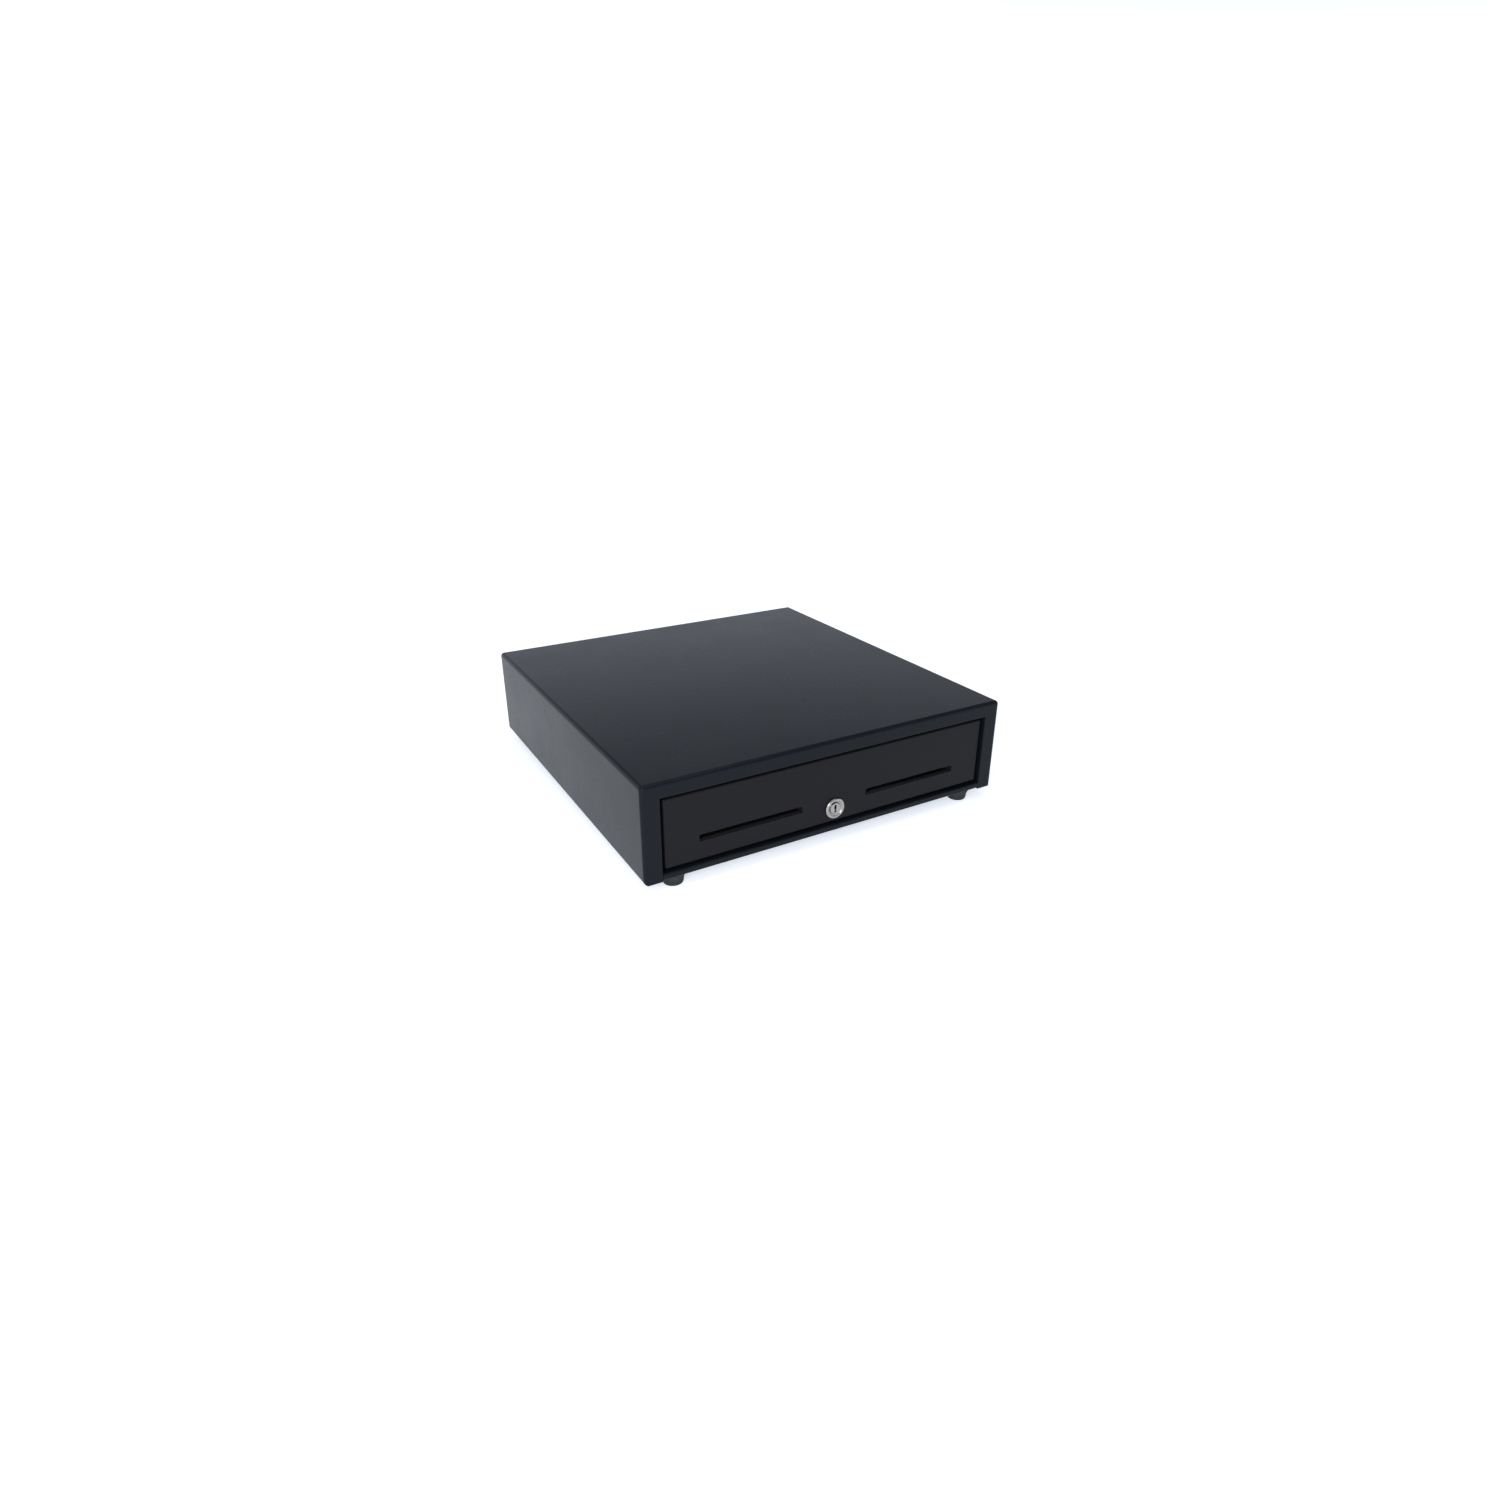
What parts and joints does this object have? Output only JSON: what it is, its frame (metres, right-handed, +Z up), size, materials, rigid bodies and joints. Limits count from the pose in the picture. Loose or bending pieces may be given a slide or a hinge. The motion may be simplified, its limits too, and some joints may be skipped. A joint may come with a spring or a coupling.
{
  "type": "cash drawer",
  "caption": "Low steel point-of-sale cash drawer with slip slots and a cam lock in its front, a till inside, ball-bearing slides and a solenoid latch.",
  "frame": {"origin": "middle of the footprint, on the surface that the feet stand on", "axes": "+Z up, +X to the right of a person facing the front, the drawer opens towards -Y"},
  "size_m": [0.41, 0.415, 0.111],
  "materials": {
    "case_paint": "satin black powder coat with a fine texture",
    "front_paint": "satin black powder coat",
    "tub_paint": "satin black powder coat, inside the drawer",
    "foot_rubber": "moulded black rubber",
    "zinc_steel": "zinc-plated sheet steel",
    "slide_steel": "zinc-plated, rolled steel with grease",
    "screw_steel": "bright zinc",
    "screw_black": "black zinc",
    "latch_steel": "hardened steel",
    "spring_steel": "spring steel",
    "ball_steel": "polished bearing steel",
    "lock_chrome": "polished chrome plate",
    "cage_plastic": "natural nylon",
    "socket_plastic": "black moulded plastic",
    "switch_plastic": "black moulded plastic",
    "guide_plastic": "black moulded plastic",
    "till_plastic": "black textured ABS",
    "cup_plastic": "black textured ABS",
    "clip_plastic": "black nylon",
    "cable_jacket": "black PVC",
    "coil_winding": "enamelled copper wire on a bobbin"
  },
  "bodies": {
    "case": {"case_cover": "case_paint", "base_pan": "case_paint", "back_panel": "case_paint", "rubber_feet": "foot_rubber", "foot_screws": "screw_steel", "base_screws": "screw_black", "slide_bracket_right": "zinc_steel", "slide_bracket_left": "zinc_steel", "slide_case_rivets": "screw_steel", "slide_outer_right": "slide_steel", "slide_outer_left": "slide_steel", "cable_socket": "socket_plastic", "latch_cable": "cable_jacket", "latch_plate": "zinc_steel", "latch_screws": "screw_steel", "latch_pivot": "screw_steel", "latch_spring": "spring_steel", "solenoid_frame": "zinc_steel", "solenoid_coil": "coil_winding", "switch_body": "switch_plastic", "ejector_guide": "zinc_steel", "ejector_spring": "spring_steel", "lock_keeper": "zinc_steel"},
    "drawer": {"drawer_front": "front_paint", "drawer_tub": "tub_paint", "front_screws": "screw_steel", "slip_guide_right": "guide_plastic", "slip_guide_left": "guide_plastic", "till_ledges": "tub_paint", "striker": "latch_steel", "lock_barrel": "lock_chrome", "lock_nut": "screw_steel", "till_tray": "till_plastic", "divider_guides": "till_plastic", "note_dividers": "till_plastic", "coin_cups_front": "cup_plastic", "coin_cups_rear": "cup_plastic", "clip_rod": "screw_steel", "clip_springs": "spring_steel", "slide_inner_right": "slide_steel", "slide_inner_left": "slide_steel", "slide_tub_rivets": "screw_steel"},
    "slide_middle": {"slide_middle_right": "slide_steel", "slide_middle_left": "slide_steel"},
    "cage_outer": {"ball_cages_outer": "cage_plastic", "balls_outer": "ball_steel"},
    "cage_inner": {"ball_cages_inner": "cage_plastic", "balls_inner": "ball_steel"},
    "lock": {"lock_plug": "lock_chrome", "lock_cam": "latch_steel", "cam_screw": "screw_steel"},
    "latch": {"latch_hook": "latch_steel"},
    "plunger": {"solenoid_plunger": "latch_steel", "plunger_pin": "screw_steel"},
    "lever": {"switch_lever": "spring_steel"},
    "clip_1": {"note_clip_1": "clip_plastic"},
    "clip_2": {"note_clip_2": "clip_plastic"},
    "clip_3": {"note_clip_3": "clip_plastic"},
    "clip_4": {"note_clip_4": "clip_plastic"}
  },
  "joints": [
    {"name": "drawer_slide", "type": "slide", "parent": "case", "child": "drawer", "axis": [0, -1, 0], "range_m": [0, 0.34], "deforming": ["ejector_spring"]},
    {"name": "middle_slide", "type": "slide", "parent": "case", "child": "slide_middle", "axis": [0, -1, 0], "range_m": [0, 0.17]},
    {"name": "outer_cage_slide", "type": "slide", "parent": "case", "child": "cage_outer", "axis": [0, -1, 0], "range_m": [0, 0.085]},
    {"name": "inner_cage_slide", "type": "slide", "parent": "case", "child": "cage_inner", "axis": [0, -1, 0], "range_m": [0, 0.255]},
    {"name": "lock_turn", "type": "hinge", "parent": "drawer", "child": "lock", "pos_m": [0, -0.2, 0.037], "axis": [0, 1, 0], "range_deg": [0, 90]},
    {"name": "latch_swing", "type": "hinge", "parent": "case", "child": "latch", "pos_m": [-0.012, 0.18, 0.0365], "axis": [0, 0, 1], "range_deg": [0, 10], "deforming": ["latch_spring"]},
    {"name": "plunger_slide", "type": "slide", "parent": "case", "child": "plunger", "axis": [1, 0, 0], "range_m": [0, 0.00244]},
    {"name": "lever_swing", "type": "hinge", "parent": "case", "child": "lever", "pos_m": [-0.002, 0.18, 0.0365], "axis": [0, 0, 1], "range_deg": [0, 10]},
    {"name": "clip_lift_1", "type": "hinge", "parent": "drawer", "child": "clip_1", "pos_m": [-0.126, 0.112, 0.083], "axis": [-1, 0, 0], "range_deg": [0, 27], "stiffness_Nm_per_rad": 0.05, "springref_deg": -28.65},
    {"name": "clip_lift_2", "type": "hinge", "parent": "drawer", "child": "clip_2", "pos_m": [-0.042, 0.112, 0.083], "axis": [-1, 0, 0], "range_deg": [0, 27], "stiffness_Nm_per_rad": 0.05, "springref_deg": -28.65},
    {"name": "clip_lift_3", "type": "hinge", "parent": "drawer", "child": "clip_3", "pos_m": [0.042, 0.112, 0.083], "axis": [-1, 0, 0], "range_deg": [0, 27], "stiffness_Nm_per_rad": 0.05, "springref_deg": -28.65},
    {"name": "clip_lift_4", "type": "hinge", "parent": "drawer", "child": "clip_4", "pos_m": [0.126, 0.112, 0.083], "axis": [-1, 0, 0], "range_deg": [0, 27], "stiffness_Nm_per_rad": 0.05, "springref_deg": -28.65}
  ],
  "couplings": [
    {"joint": "middle_slide", "follows": "drawer_slide", "ratio": 0.5},
    {"joint": "outer_cage_slide", "follows": "drawer_slide", "ratio": 0.25},
    {"joint": "inner_cage_slide", "follows": "drawer_slide", "ratio": 0.75},
    {"joint": "plunger_slide", "follows": "latch_swing", "m_per_rad": 0.013929},
    {"joint": "lever_swing", "follows": "latch_swing", "ratio": 1}
  ]
}
